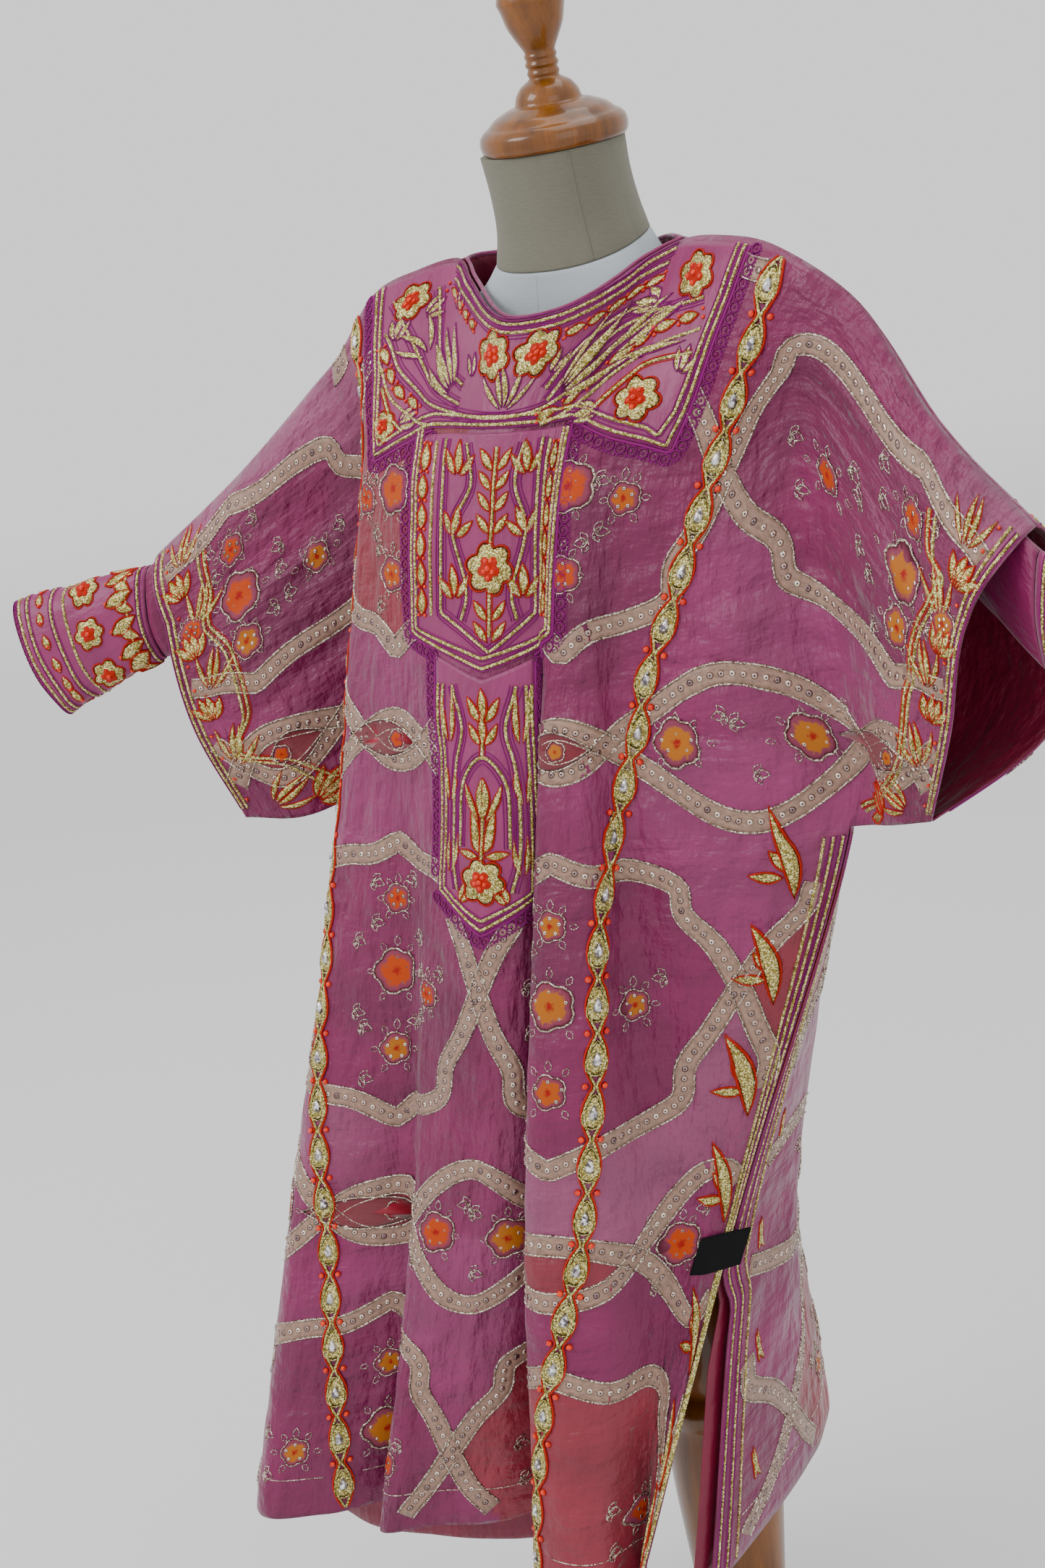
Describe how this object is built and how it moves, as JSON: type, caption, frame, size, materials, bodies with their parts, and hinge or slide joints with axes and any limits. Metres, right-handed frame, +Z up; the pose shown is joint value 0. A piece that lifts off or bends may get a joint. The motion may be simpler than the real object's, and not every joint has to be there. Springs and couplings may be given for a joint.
{
  "type": "thobe on dress form",
  "caption": "Printed silk thobe with wide sleeves, embroidered yoke, placket and bands, worn by a limbless dress form with a turned wooden cap, pole and round base.",
  "frame": {"origin": "centre of the underside of the round base, on the floor below the pole", "axes": "+Z up along the pole, +X to the wearer's left, the front of the garment faces -Y"},
  "size_m": [0.952, 0.4305, 1.3798],
  "materials": {
    "printed_silk": "satin",
    "embroidered_ground": "satin",
    "gold_braid": "satin",
    "slip_silk": "satin",
    "lace": "matte",
    "woven_label": "matte",
    "linen_cover": "matte",
    "jersey_cover": "matte",
    "turned_wood": "gloss"
  },
  "bodies": {
    "root": {"dress_front": "printed_silk", "dress_back": "printed_silk", "slip_front": "slip_silk", "slip_back": "slip_silk", "yoke": "embroidered_ground", "placket_upper": "embroidered_ground", "placket_lower": "embroidered_ground", "lace_yoke_right": "lace", "lace_yoke_left": "lace", "lace_upper_right": "lace", "lace_upper_left": "lace", "lace_lower_right": "lace", "lace_lower_tip": "lace", "chain_left": "gold_braid", "chain_right": "gold_braid", "edge_front_upper": "gold_braid", "edge_front_lower": "gold_braid", "edge_back_upper": "gold_braid", "edge_back_lower": "gold_braid", "mouth_front_right": "gold_braid", "mouth_back_right": "gold_braid", "mouth_front_left": "gold_braid", "mouth_back_left": "gold_braid", "neck_binding": "lace", "inner_sleeve_right": "printed_silk", "inner_sleeve_left": "printed_silk", "cuff_right": "embroidered_ground", "cuff_left": "embroidered_ground", "label": "woven_label", "form_neck": "linen_cover", "form_torso": "jersey_cover", "neck_cap": "turned_wood", "column": "turned_wood", "base": "turned_wood"}
  },
  "joints": []
}
